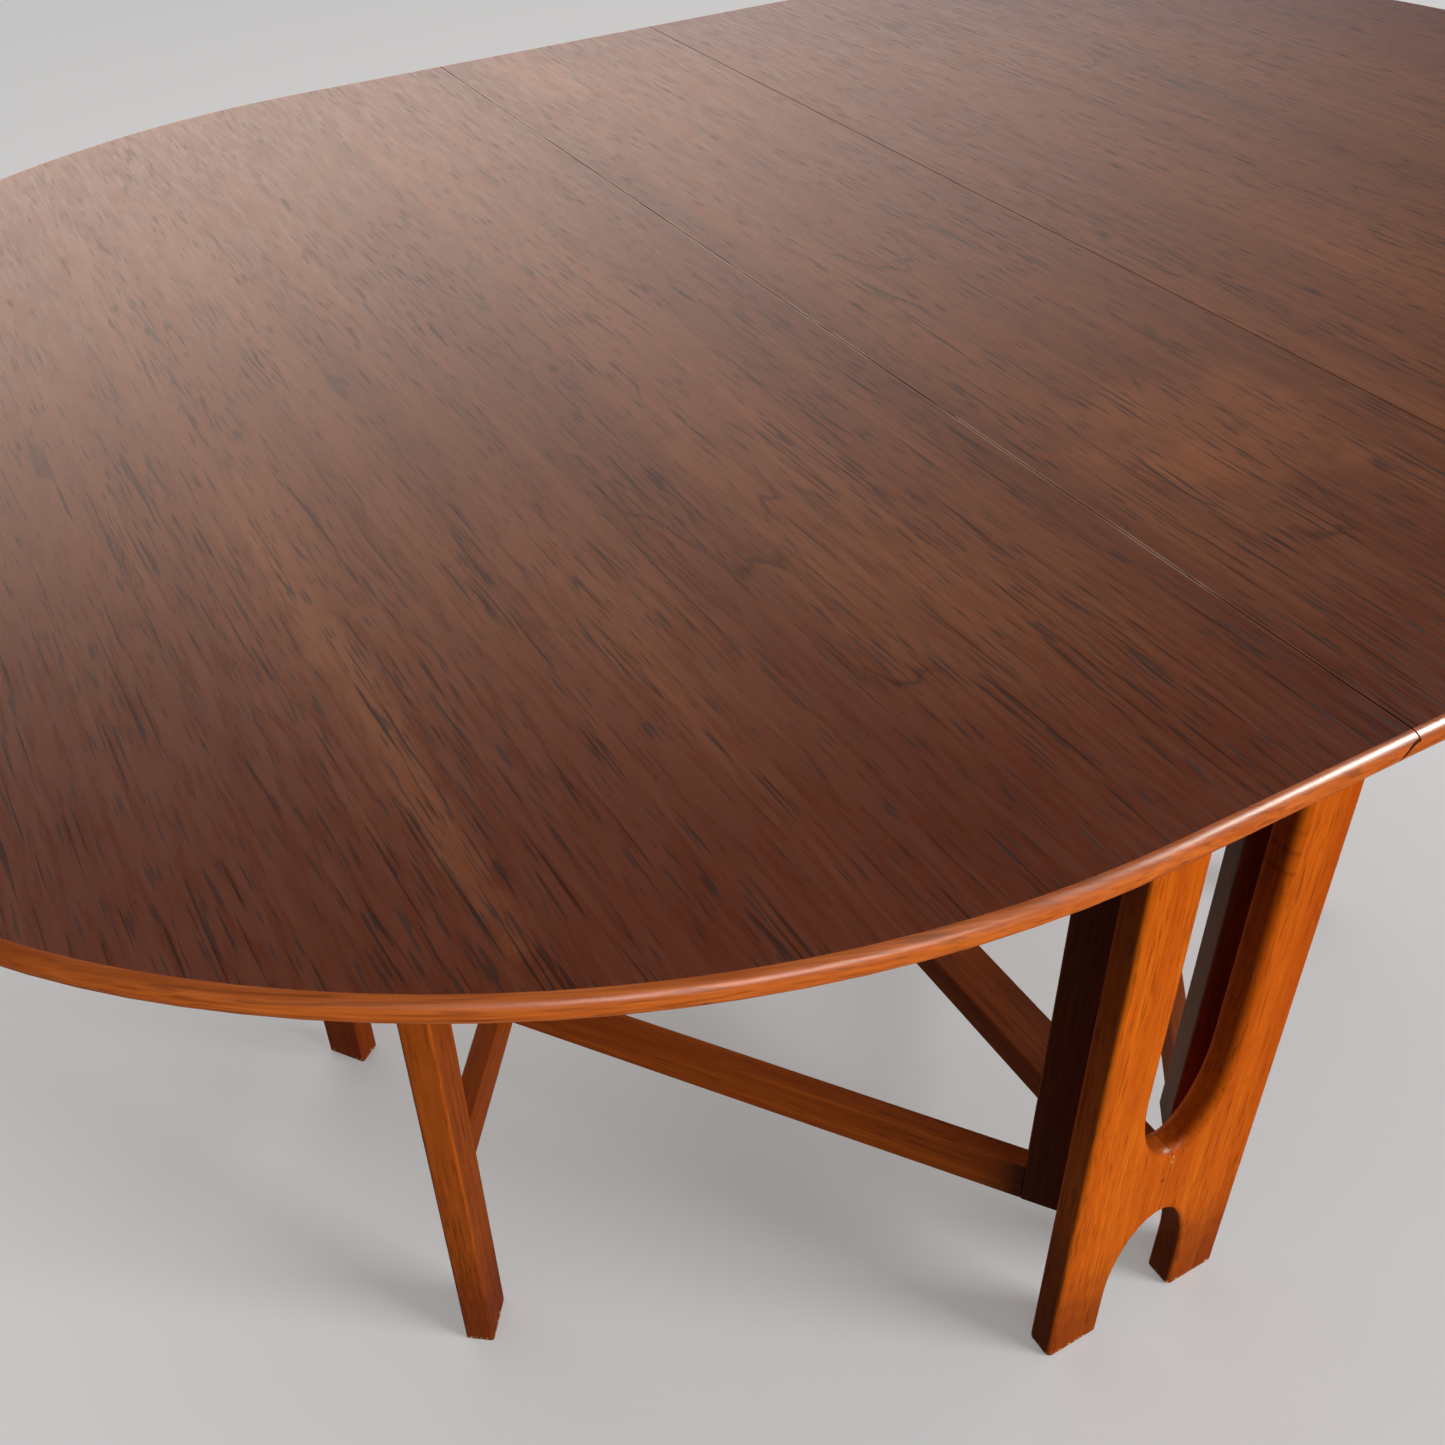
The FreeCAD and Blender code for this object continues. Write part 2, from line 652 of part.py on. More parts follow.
def gate_post_u():
    start = BUTT_BARREL_RADIUS + POST_CLEARANCE
    return start, start + GATE_MEMBER_WIDTH


def gate_leg_u():
    half = GATE_MEMBER_WIDTH / 2
    return GATE_REACH - half, GATE_REACH + half


def rail_body(z0):
    """A gate rail between post and leg, with a tenon at each end."""
    u0 = gate_post_u()[1]
    u1 = gate_leg_u()[0]
    bar = rounded_bar(0, GATE_RAIL_THICKNESS, u0, u1, z0, z0 + GATE_RAIL_HEIGHT,
                      Y_DIR, RAIL_EDGE_RADIUS)
    tenon = box(TENON_SHOULDER, GATE_RAIL_THICKNESS - TENON_SHOULDER,
                u0 - TENON_LENGTH, u1 + TENON_LENGTH,
                z0 + TENON_SHOULDER, z0 + GATE_RAIL_HEIGHT - TENON_SHOULDER)
    return bar.fuse(tenon)


def gate_post(z0):
    u0, u1 = gate_post_u()
    return rounded_bar(0, GATE_MEMBER_THICKNESS, u0, u1, z0, GATE_POST_TOP,
                       UP, MEMBER_EDGE_RADIUS)


def gate_leg():
    u0, u1 = gate_leg_u()
    leg = rounded_bar(0, GATE_MEMBER_THICKNESS, u0, u1, 0, UNDERSIDE_Z - LEG_TOP_CLEARANCE,
                      UP, MEMBER_EDGE_RADIUS)
    bottom = [e for e in leg.Edges if all(abs(v.Z) < TOUCH for v in e.Vertexes)]
    return leg.makeChamfer(FOOT_CHAMFER / 2, bottom)


def butt_barrel(z0, z1, radius):
    return rod(radius, vec(0, 0, z0), vec(0, 0, z1))


def knuckle_spans(height):
    """Height ranges of a butt hinge's three knuckles."""
    third = BUTT_HINGE_LENGTH / 6
    gap = KNUCKLE_GAP / 2
    half = BUTT_HINGE_LENGTH / 2
    return [(height - half, height - third - gap),
            (height - third + gap, height + third - gap),
            (height + third + gap, height + half)]


def gate_plate_box(height):
    """The plate on the post's end face, in the gate's own axes."""
    half = BUTT_HINGE_LENGTH / 2
    face = gate_post_u()[0]
    return box(BUTT_BARREL_RADIUS, BUTT_PLATE_WIDTH, face - BUTT_PLATE_THICKNESS, face,
               height - half, height + half)


def gate_plate(height):
    z0, z1 = knuckle_spans(height)[1]
    face = gate_post_u()[0]
    tongue = box(0, BUTT_BARREL_RADIUS, face - BUTT_PLATE_THICKNESS, face, z0, z1)
    plate = gate_plate_box(height).multiFuse([tongue, butt_barrel(z0, z1, BUTT_BARREL_RADIUS)])
    return plate.cut(butt_barrel(z0, z1, BUTT_PIN_RADIUS + PIN_CLEARANCE))


def gate_screws(end):
    """Screws through the gate plates into the post."""
    face = gate_post_u()[0] - BUTT_PLATE_THICKNESS
    x = (BUTT_BARREL_RADIUS + BUTT_PLATE_WIDTH) / 2
    third = BUTT_HINGE_LENGTH / 3
    screws = []
    for height in HINGE_HEIGHTS[end]:
        for z in (height - third, height + third):
            screws.append(small_screw(vec(x, face, z), Y_DIR))
    return screws


def frame_plate(height):
    """Plate on the end frame's rear face, with the two outer knuckles."""
    spans = knuckle_spans(height)
    low = FRAME_REAR_Y - GATE_AXIS_Y
    high = low + BUTT_PLATE_THICKNESS
    half = BUTT_HINGE_LENGTH / 2
    plate = box(BUTT_BARREL_RADIUS, BUTT_PLATE_WIDTH, low, high, height - half, height + half)
    for z0, z1 in (spans[0], spans[2]):
        tongue = box(0, BUTT_BARREL_RADIUS, low, high, z0, z1)
        plate = plate.multiFuse([tongue, butt_barrel(z0, z1, BUTT_BARREL_RADIUS)])
    return plate.cut(butt_barrel(height - half, height + half, BUTT_PIN_RADIUS))


def to_frame(shape, side):
    """Move a shape drawn about the hinge axis to the front frame's left or right."""
    shape = shape.copy()
    shape.translate(vec(-GATE_AXIS_X, GATE_AXIS_Y, 0))
    return mirrored(shape, X_DIR) if side == "right" else shape


def frame_hinge_screws(end):
    """Screws through the frame plates into an end frame, drawn at the front."""
    high = FRAME_REAR_Y - GATE_AXIS_Y + BUTT_PLATE_THICKNESS
    x = (BUTT_BARREL_RADIUS + BUTT_PLATE_WIDTH) / 2
    third = BUTT_HINGE_LENGTH / 3
    screws = []
    for height in HINGE_HEIGHTS[end]:
        for z in (height - third, height + third):
            screws.append(small_screw(vec(x, high, z), -Y_DIR))
    return [to_frame(s, side) for side in ("left", "right") for s in screws]


def make_gate(side, end, lower_z, upper_z):
    rails = [rail_body(lower_z), rail_body(upper_z)]
    screws = gate_screws(end)
    plates = [cut_all(gate_plate(height), screws) for height in HINGE_HEIGHTS[end]]
    pieces = {
        "post": cut_all(gate_post(lower_z), rails + screws),
        "leg": cut_all(gate_leg(), rails),
        "lower_rail": rails[0],
        "upper_rail": rails[1],
        "hinge_plates": group(plates),
        "screws": group(screws),
    }
    for name, shape in pieces.items():
        parts[end + "_" + side + "_gate_" + name] = place_gate(shape, side, end)


def make_gates():
    for side in ("left", "right"):
        make_gate(side, "front", FRONT_GATE_LOWER_RAIL, FRONT_GATE_UPPER_RAIL)
        make_gate(side, "back", BACK_GATE_LOWER_RAIL, BACK_GATE_UPPER_RAIL)


def make_frame_hinges():
    """Hinge plates, pins and screws that stay with the end frames."""
    pins = []
    screws = []
    half = BUTT_HINGE_LENGTH / 2
    for end, heights in HINGE_HEIGHTS.items():
        plates = []
        for side in ("left", "right"):
            for height in heights:
                plates.append(to_frame(frame_plate(height), side))
                pin = butt_barrel(height - half, height + half, BUTT_PIN_RADIUS)
                pins.append(at_end(to_frame(pin, side), end))
        end_screws = frame_hinge_screws(end)
        plates = cut_each(plates, end_screws)
        parts[end + "_frame_hinge_plates"] = at_end(group(plates), end)
        screws += [at_end(s, end) for s in end_screws]
    fixed = hinge_screws_fixed()
    screws += fixed + [mirrored(s, X_DIR) for s in fixed]
    parts["gate_hinge_pins"] = group(pins)
    parts["frame_hinge_screws"] = group(screws)
    parts["top_fixing_screws"] = group(top_screws())


# ---------------------------------------------------------------- gate stops
def stop_block():
    """Block under a leaf that an open gate's leg rests against."""
    middle = GATE_REACH
    half = STOP_LENGTH / 2
    return box(-STOP_DEPTH - STOP_GAP, -STOP_GAP, middle - half, middle + half,
               UNDERSIDE_Z - STOP_HEIGHT, UNDERSIDE_Z)


def stop_screws():
    """Screws up through the right leaf's stop blocks."""
    x = -STOP_DEPTH / 2 - STOP_GAP
    screws = []
    for end in ("front", "back"):
        for offset in (-STOP_LENGTH / 4, STOP_LENGTH / 4):
            head = vec(x, GATE_REACH + offset, UNDERSIDE_Z - STOP_HEIGHT)
            raised = screw(head, UP, STOP_HEIGHT + SCREW_LENGTH, SCREW_SHANK_RADIUS,
                           SCREW_HEAD_RADIUS, SCREW_HEAD_DEPTH)
            screws.append(place_gate(raised, "right", end))
    return screws


def make_stops():
    stops = [place_gate(stop_block(), "right", end) for end in ("front", "back")]
    add_both_sides("leaf_gate_stops", group(cut_each(stops, stop_screws())))


# ---------------------------------------------------------------- build
def main():
    make_centre()
    make_leaves()
    make_leaf_hinges()
    make_end_frames()
    make_rails()
    make_gates()
    make_frame_hinges()
    make_stops()
    os.makedirs("parts", exist_ok=True)
    for name, shape in parts.items():
        shape.exportStep("parts/" + name + ".step")
        print(name, "solids", len(shape.Solids), "valid", shape.isValid(),
              "volume", round(shape.Volume / 1000, 1))


main()
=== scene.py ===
import math

import bpy
from mathutils import Matrix, Vector


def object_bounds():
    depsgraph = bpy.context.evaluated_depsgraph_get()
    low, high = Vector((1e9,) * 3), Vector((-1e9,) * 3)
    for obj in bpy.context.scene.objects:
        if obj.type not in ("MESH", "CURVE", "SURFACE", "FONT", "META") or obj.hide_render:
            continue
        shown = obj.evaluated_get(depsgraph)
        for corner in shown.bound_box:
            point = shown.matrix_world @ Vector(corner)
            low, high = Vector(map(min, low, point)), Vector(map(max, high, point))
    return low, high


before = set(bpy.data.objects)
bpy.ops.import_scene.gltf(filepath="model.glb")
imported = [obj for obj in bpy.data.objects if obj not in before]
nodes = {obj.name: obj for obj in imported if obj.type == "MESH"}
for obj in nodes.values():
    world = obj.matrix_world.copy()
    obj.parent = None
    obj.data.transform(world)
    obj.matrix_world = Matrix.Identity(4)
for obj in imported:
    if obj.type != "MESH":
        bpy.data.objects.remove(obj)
cad_low, cad_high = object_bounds()
scene = bpy.context.scene

# ---------------------------------------------------------------- camera
# fitted to the photograph: metres, radians, and millimetres of lens and film
CAMERA_PLACE = Vector((-0.5909, -0.8137, 1.1497))
CAMERA_YAW = 0.4859
CAMERA_PITCH = 0.6713
CAMERA_ROLL = 0.0377
CAMERA_LENS = 38.72
CAMERA_SHIFT = (0.02466, -0.02703)
FILM_WIDTH = 36.0
CLIP_START = 0.02


def make_camera():
    data = bpy.data.cameras.new("camera")
    data.sensor_width = FILM_WIDTH
    data.lens = CAMERA_LENS
    data.shift_x, data.shift_y = CAMERA_SHIFT
    data.clip_start = CLIP_START
    camera = bpy.data.objects.new("camera", data)
    scene.collection.objects.link(camera)
    forward = Vector((math.sin(CAMERA_YAW) * math.cos(CAMERA_PITCH),
                      math.cos(CAMERA_YAW) * math.cos(CAMERA_PITCH),
                      -math.sin(CAMERA_PITCH)))
    level = Vector((math.cos(CAMERA_YAW), -math.sin(CAMERA_YAW), 0))
    down = forward.cross(level)
    right = level * math.cos(CAMERA_ROLL) + down * math.sin(CAMERA_ROLL)
    down = down * math.cos(CAMERA_ROLL) - level * math.sin(CAMERA_ROLL)
    turn = Matrix((right, -down, -forward)).transposed().to_4x4()
    camera.matrix_world = Matrix.Translation(CAMERA_PLACE) @ turn
    scene.camera = camera


# ---------------------------------------------------------------- node helpers
class Graph:
    """A material's node tree, with short calls for the nodes used here."""

    def __init__(self, name):
        self.material = bpy.data.materials.new(name)
        self.material.use_nodes = True
        self.tree = self.material.node_tree
        self.shader = self.tree.nodes["Principled BSDF"]

    def node(self, kind, **settings):
        made = self.tree.nodes.new(kind)
        for key, value in settings.items():
            setattr(made, key, value)
        return made

    def put(self, value, socket):
        if isinstance(value, bpy.types.NodeSocket):
            self.tree.links.new(value, socket)
        else:
            socket.default_value = value

    def place(self):
        """Object coordinates, which are the frame's own metres."""
        return self.node("ShaderNodeTexCoord").outputs["Object"]

    def split(self, vector):
        made = self.node("ShaderNodeSeparateXYZ")
        self.put(vector, made.inputs[0])
        return made.outputs

    def join(self, x, y, z):
        made = self.node("ShaderNodeCombineXYZ")
        for socket, value in zip(made.inputs, (x, y, z)):
            self.put(value, socket)
        return made.outputs[0]

    def math(self, operation, a, b=0.0):
        made = self.node("ShaderNodeMath", operation=operation)
        self.put(a, made.inputs[0])
        self.put(b, made.inputs[1])
        return made.outputs[0]

    def times(self, a, b):
        return self.math("MULTIPLY", a, b)

    def off(self, value, centre):
        """How far value is from centre, either way."""
        return self.math("ABSOLUTE", self.math("SUBTRACT", value, centre))

    def vector(self, operation, a, b=(0, 0, 0)):
        made = self.node("ShaderNodeVectorMath", operation=operation)
        self.put(a, made.inputs[0])
        self.put(b, made.inputs[1])
        return made.outputs[1 if operation in ("LENGTH", "DOT_PRODUCT") else 0]

    def turned(self, vector, rotation):
        made = self.node("ShaderNodeMapping")
        self.put(vector, made.inputs["Vector"])
        made.inputs["Rotation"].default_value = rotation
        return made.outputs[0]

    def noise(self, vector, detail=2.0, roughness=0.5):
        made = self.node("ShaderNodeTexNoise")
        self.put(vector, made.inputs["Vector"])
        made.inputs["Scale"].default_value = 1.0
        made.inputs["Detail"].default_value = detail
        made.inputs["Roughness"].default_value = roughness
        return made.outputs["Fac"]

    def grit(self, pitch, detail=2.0, roughness=0.5):
        """Noise that repeats pitch times in a metre. Three numbers give X, Y and Z."""
        if not isinstance(pitch, tuple):
            pitch = (pitch, pitch, pitch)
        return self.noise(self.vector("MULTIPLY", self.place(), pitch), detail, roughness)

    def ramp(self, value, low, high, out_low=0.0, out_high=1.0):
        """Smooth step of value from low to high."""
        made = self.node("ShaderNodeMapRange", interpolation_type="SMOOTHSTEP")
        self.put(value, made.inputs["Value"])
        made.inputs["From Min"].default_value = low
        made.inputs["From Max"].default_value = high
        made.inputs["To Min"].default_value = out_low
        made.inputs["To Max"].default_value = out_high
        return made.outputs["Result"]

    def fade(self, value, full, gone, strength=1.0):
        """Strength up to full, then down to nothing at gone."""
        return self.ramp(value, full, gone, strength, 0.0)

    def mix(self, factor, a, b):
        made = self.node("ShaderNodeMix", data_type="RGBA")
        self.put(factor, made.inputs["Factor"])
        self.put(a, made.inputs["A"])
        self.put(b, made.inputs["B"])
        return made.outputs["Result"]

    def bump(self, height, distance):
        made = self.node("ShaderNodeBump")
        made.inputs["Distance"].default_value = distance
        made.inputs["Strength"].default_value = 1.0
        self.put(height, made.inputs["Height"])
        return made.outputs[0]

    def surface(self, tone, rough, normal):
        """Wire the shader up, and give back the material."""
        self.put(tone, self.shader.inputs["Base Color"])
        self.put(rough, self.shader.inputs["Roughness"])
        self.put(normal, self.shader.inputs["Normal"])
        return self.material


def colour(red, green, blue):
    """Linear colour from sRGB numbers of 0 to 255."""
    linear = []
    for value in (red, green, blue):
        value = value / 255
        linear.append(value / 12.92 if value <= 0.04045 else ((value + 0.055) / 1.055) ** 2.4)
    return (*linear, 1.0)


# ---------------------------------------------------------------- wood
# radius of the ring that the grain of the lippings is laid out on
EDGE_REACH = 0.62

# how often each layer of the grain repeats in a metre: across it, and along it
SWAY_PITCH = (5.0, 1.3)
BAND_PITCH = (19.0, 0.8)
STREAK_PITCH = (150.0, 2.6)
FIBRE_PITCH = (1100.0, 22.0)
MOTTLE_PITCH = (300.0, 24.0)
CLOUD_PITCH = (9.0, 4.0)
DASH_PITCH = (680.0, 44.0)
CRACK_PITCH = (620.0, 16.0)
ZONE_PITCH = (45.0, 4.0)
ARCH_WAVE_PITCH = (28.0, 5.0)
ARCH_PATCH_PITCH = (14.0, 6.0)

SWAY_REACH = 0.020
PORE_SHADE = (0.12, 0.10, 0.10)
PORE_STRENGTH = 0.8
PORE_ROUGHNESS = 0.05
WOOD_RELIEF = 0.000012
METAL_RELIEF = 0.00003

ARCH_BEND = 62.0
ARCHES_A_METRE = 8.0
ARCH_WANDER = 1.6
ARCH_STRENGTH = 0.6


def oval_place(graph, x, y):
    """X and Y as parts of the top's half length and half width."""
    half = (cad_high - cad_low) / 2
    return graph.math("DIVIDE", x, half.x), graph.math("DIVIDE", y, half.y)


def grain_vector(graph, way):
    """Object coordinates turned so that the grain runs along Y.

    way is "edge" for round the top's edge, "up" for upright, or degrees in plan.
    """
    place = graph.place()
    if way == "edge":
        x, y, z = graph.split(place)
        across, deep = oval_place(graph, x, y)
        round_edge = graph.times(graph.math("ARCTAN2", deep, across), EDGE_REACH)
        flat = graph.join(graph.times(across, EDGE_REACH), graph.times(deep, EDGE_REACH), 0.0)
        return graph.join(graph.vector("LENGTH", flat), round_edge, z)
    if way == "up":
        return graph.turned(place, (-math.pi / 2, 0, 0))
    return graph.turned(place, (0, 0, math.radians(way)))


def layer(graph, vector, pitch, seed, detail=2.0, roughness=0.5):
    """Noise drawn out along the grain. Another seed gives another part of it."""
    across, along = pitch
    scaled = graph.vector("MULTIPLY", vector, (across, along, across))
    placed = graph.vector("ADD", scaled, (seed, seed * 1.7, seed * 0.6))
    return graph.noise(placed, detail, roughness)


def blot(graph, centre, size, ragged=0.5, fine=120.0):
    """A soft mask round a point, with an uneven rim. size is its reach along X, Y and Z."""
    near = graph.vector("SUBTRACT", graph.place(), centre)
    reach = graph.vector("LENGTH", graph.vector("DIVIDE", near, size))
    rim = graph.times(graph.math("SUBTRACT", graph.grit(fine), 0.5), ragged * 2)
    return graph.fade(graph.math("ADD", reach, rim), 0.45, 1.0)


def cathedral(graph, grain, apex_x, seed):
    """Thin dark growth lines that nest into each other as arches along the grain."""
    x, y, _ = graph.split(grain)
    side = graph.math("SUBTRACT", x, apex_x)
    bend = graph.times(graph.times(side, side), ARCH_BEND)
    wave = layer(graph, grain, ARCH_WAVE_PITCH, seed, 3.0, 0.6)
    level = graph.times(graph.math("SUBTRACT", y, bend), ARCHES_A_METRE)
    level = graph.math("ADD", level, graph.times(wave, ARCH_WANDER))
    thin = graph.fade(graph.off(graph.math("FRACT", level), 0.5), 0.0, 0.05)
    near = graph.fade(graph.math("ABSOLUTE", side), 0.025, 0.055)
    patchy = graph.ramp(layer(graph, grain, ARCH_PATCH_PITCH, seed + 5), 0.45, 0.62)
    return graph.times(graph.times(thin, near), patchy)


def wood(name, way, dark, mid, light, seed, pores=0.6, streaks=0.5, bands=0.5, roughness=0.36,
         specular=0.5, arches=(), extra=None):
    """Oiled teak: growth bands, streaks, fine fibre and open pores along the grain."""
    graph = Graph(name)
    graph.shader.inputs["Specular IOR Level"].default_value = specular
    straight = grain_vector(graph, way)
    sway = layer(graph, straight, SWAY_PITCH, seed)
    sway = graph.times(graph.math("SUBTRACT", sway, 0.5), SWAY_REACH)
    grain = graph.vector("ADD", straight, graph.join(sway, 0.0, sway))
    band = layer(graph, grain, BAND_PITCH, seed + 3, 3.0, 0.6)
    streak = layer(graph, grain, STREAK_PITCH, seed + 7, 4.0, 0.65)
    fibre = layer(graph, grain, FIBRE_PITCH, seed + 11, 2.0, 0.6)
    mottle = layer(graph, grain, MOTTLE_PITCH, seed + 13, 2.0, 0.6)
    cloud = layer(graph, grain, CLOUD_PITCH, seed + 15, 3.0)

    # short and long pores, which crowd where zone is high
    zone = layer(graph, grain, ZONE_PITCH, seed + 19)
    dash = layer(graph, grain, DASH_PITCH, seed + 17, 0.0)
    dash = graph.math("SUBTRACT", dash, graph.ramp(zone, 0.36, 0.64, 0.68, 0.58))
    dash = graph.ramp(dash, 0.0, 0.14)
    crack = layer(graph, grain, CRACK_PITCH, seed + 21, 0.0)
    crack = graph.math("SUBTRACT", crack, graph.ramp(zone, 0.35, 0.65, 0.73, 0.63))
    crack = graph.ramp(crack, 0.0, 0.10)

    tone = graph.mix(graph.ramp(band, 0.28, 0.72), dark, light)
    tone = graph.mix(bands, mid, tone)
    tone = graph.mix(graph.fade(streak, 0.32, 0.60, 0.7 * streaks), tone, dark)
    tone = graph.mix(graph.ramp(streak, 0.52, 0.75, 0.0, 0.55 * streaks), tone, light)
    tone = graph.mix(graph.fade(cloud, 0.35, 0.7, 0.14), tone, dark)
    tone = graph.mix(graph.fade(mottle, 0.35, 0.65, 0.22), tone, dark)
    tone = graph.mix(graph.fade(fibre, 0.35, 0.65, 0.25), tone, dark)
    rough = graph.ramp(mottle, 0.3, 0.7, roughness - 0.02, roughness + 0.05)
    if extra:
        tone, rough = extra(graph, tone, rough)

    deep = (*(shade * part for shade, part in zip(dark, PORE_SHADE)), 1.0)
    tone = graph.mix(graph.times(dash, pores * PORE_STRENGTH), tone, deep)
    tone = graph.mix(graph.times(crack, pores * PORE_STRENGTH), tone, deep)
    for apex in arches:
        lines = cathedral(graph, grain, apex, seed + 30)
        tone = graph.mix(graph.times(lines, ARCH_STRENGTH), tone, deep)
    rough = graph.math("ADD", rough, graph.times(dash, PORE_ROUGHNESS))
    height = graph.math("SUBTRACT", graph.times(fibre, 0.5), graph.times(crack, 0.3))
    return graph.surface(tone, rough, graph.bump(height, WOOD_RELIEF))


def metal(name, base, stain, roughness):
    """Dulled metal with darker stains and fine scratches."""
    graph = Graph(name)
    graph.shader.inputs["Metallic"].default_value = 1.0
    cloud = graph.grit(90, 4.0, 0.6)
    scratch = graph.grit((2500, 300, 300))
    tone = graph.mix(graph.ramp(cloud, 0.4, 0.7), base, stain)
    rough = graph.ramp(cloud, 0.3, 0.7, roughness, roughness + 0.2)
    rough = graph.math("ADD", rough, graph.times(scratch, 0.1))
    return graph.surface(tone, rough, graph.bump(scratch, METAL_RELIEF))


def dress(material, *names):
    """Give the named nodes this one material."""
    for name in names:
        slots = nodes[name].data.materials
        slots.clear()
        slots.append(material)


# ---------------------------------------------------------------- colours and marks
VENEER_DARK = colour(96, 44, 18)
VENEER_MID = colour(140, 77, 37)
VENEER_LIGHT = colour(166, 100, 54)
# painted shade for the veneer towards its edge
VENEER_RIM_SHADE = colour(92, 28, 7)
VENEER_RUBBED = colour(196, 118, 62)
FRAME_DARK = colour(150, 58, 6)
FRAME_MID = colour(206, 96, 9)
FRAME_LIGHT = colour(224, 120, 26)
GATE_DARK = colour(104, 40, 6)
GATE_MID = colour(166, 76, 12)
GATE_LIGHT = colour(190, 98, 30)
EDGE_DARK = colour(138, 52, 12)
EDGE_MID = colour(204, 96, 26)
EDGE_LIGHT = colour(226, 128, 52)
BOARD_DARK = colour(110, 70, 42)
BOARD_MID = colour(150, 104, 66)
BOARD_LIGHT = colour(176, 130, 88)
# darker colour for the bottom of the feet
FOOT_DARK = colour(96, 34, 10)
# pale rubbed wood, which also paints the highlight along the left seam
WORN_AND_HIGHLIGHT = colour(214, 176, 148)
CHIP = colour(226, 186, 142)
STAIN = colour(58, 24, 14)
RAW = colour(112, 92, 76)
HINGE = (colour(92, 70, 46), colour(48, 36, 26))
STEEL = (colour(150, 148, 144), colour(96, 90, 84))

# gates: degrees open at rest, their hinge's X and Y, and how far a post's raw face is from it
GATE_ANGLE = 37.0
GATE_AXIS = (0.0586, 0.3747)
POST_FACE = (0.0212, 0.0217)

# marks, in metres in the frame: a centre, and its reach along X, Y and Z
SEAM_X = 0.10425
LEFT_STREAKS = (((-0.550, 0.007, 0.73), (0.006, 0.035, 1)),
                ((-0.383, 0.003, 0.73), (0.004, 0.030, 1)),
                ((-0.265, -0.072, 0.73), (0.002, 0.020, 1)),
                ((-0.300, -0.150, 0.73), (0.0015, 0.012, 1)))
LEFT_STRIPE = ((-0.470, -0.290, 0.73), (0.012, 0.22, 1))
CENTRE_RUB = ((0.006, -0.300, 0.73), (0.085, 0.075, 1))
CENTRE_PALE = ((-0.040, 0.455, 0.73), (0.035, 0.10, 1))
CURL = ((-0.040, -0.078, 0.73), (0.03, 0.032, 1))
CURL_X = -0.043
CURL_WAVE = 42.0
CURL_SWING = 0.006
LIPPING_DENT = ((-0.421, -0.497, 0.722), (0.003, 0.003, 0.002))
LIPPING_CHIP = ((-0.111, -0.527, 0.719), (0.008, 0.012, 0.0045))
FRAME_KNOT = ((-0.005, -0.4007, 0.174), (0.0022, 0.01, 0.003))

# heights between which a mark comes in or goes out
GLUE_BOTTOM = (0.188, 0.194)
GLUE_TOP = (0.196, 0.204)
RIPPLE_BOTTOM = (0.43, 0.455)
RIPPLE_TOP = (0.485, 0.505)
RIPPLE_WAVE = 360.0
CUT_OUT_HALF = (0.0412, 0.0430)


def seam_wear_and_shade(graph, tone, rough):
    """The left seam: a pale thread along the arrises, partly rubbed wear and partly painted
    highlight, in a band of painted shade.
    """
    x = graph.split(graph.place())[0]
    off = graph.off(x, -SEAM_X)
    worn_and_lit = graph.ramp(graph.grit((30, 9, 30)), 0.40, 0.55, 0.15, 0.85)
    # the pale thread: rubbed wear and a painted highlight along the seam's arrises
    tone = graph.mix(graph.times(graph.fade(off, 0.0010, 0.0014), worn_and_lit), tone, WORN_AND_HIGHLIGHT)
    # a band of painted shade beside the seam
    return graph.mix(graph.fade(off, 0.002, 0.026, 0.45), tone, VENEER_DARK), rough


def painted_rim_shade(graph, tone, rough):
    """Painted shade: the veneer is painted deeper and redder towards the edge, all round the
    top.
    """
    x, y, _ = graph.split(graph.place())
    reach = graph.vector("LENGTH", graph.join(*oval_place(graph, x, y), 0.0))
    return graph.mix(graph.ramp(reach, 0.66, 1.0, 0.0, 0.65), tone, VENEER_RIM_SHADE), rough


def left_leaf_marks(graph, tone, rough):
    """Short dark streaks and one long pale stripe, over the seam's marks and the painted shade
    towards the edge.
    """
    tone, rough = painted_rim_shade(graph, *seam_wear_and_shade(graph, tone, rough))
    for centre, size in LEFT_STREAKS:
        tone = graph.mix(graph.times(blot(graph, centre, size), 0.6), tone, STAIN)
    stripe = blot(graph, *LEFT_STRIPE, fine=60.0)
    return graph.mix(graph.times(stripe, 0.30), tone, VENEER_LIGHT), rough


def centre_marks(graph, tone, rough):
    """A rubbed patch, a thin curled line and a pale patch at the far end, over the seam's marks
    and the painted shade towards the edge.
    """
    tone, rough = painted_rim_shade(graph, *seam_wear_and_shade(graph, tone, rough))
    rub = blot(graph, *CENTRE_RUB, ragged=0.7, fine=26.0)
    tone = graph.mix(graph.times(rub, 0.20), tone, VENEER_RUBBED)
    x, y, _ = graph.split(graph.place())
    bend = graph.times(graph.math("SINE", graph.times(y, CURL_WAVE)), CURL_SWING)
    line = graph.fade(graph.off(graph.math("SUBTRACT", x, CURL_X), bend), 0.0004, 0.0016)
    curl = graph.times(line, blot(graph, *CURL, ragged=0.2))
    tone = graph.mix(graph.times(curl, 0.85), tone, STAIN)
    pale = blot(graph, *CENTRE_PALE, ragged=0.4, fine=40.0)
    return graph.mix(graph.times(pale, 0.35), tone, VENEER_LIGHT), rough


def lipping_marks(graph, tone, rough):
    """A dark dent in the left lipping, and a pale chip where it meets the seam."""
    dent = blot(graph, *LIPPING_DENT, ragged=0.3)
    tone = graph.mix(graph.times(dent, 0.9), tone, STAIN)
    chip = blot(graph, *LIPPING_CHIP, ragged=0.3)
    return graph.mix(graph.times(chip, 0.7), tone, WORN_AND_HIGHLIGHT), rough


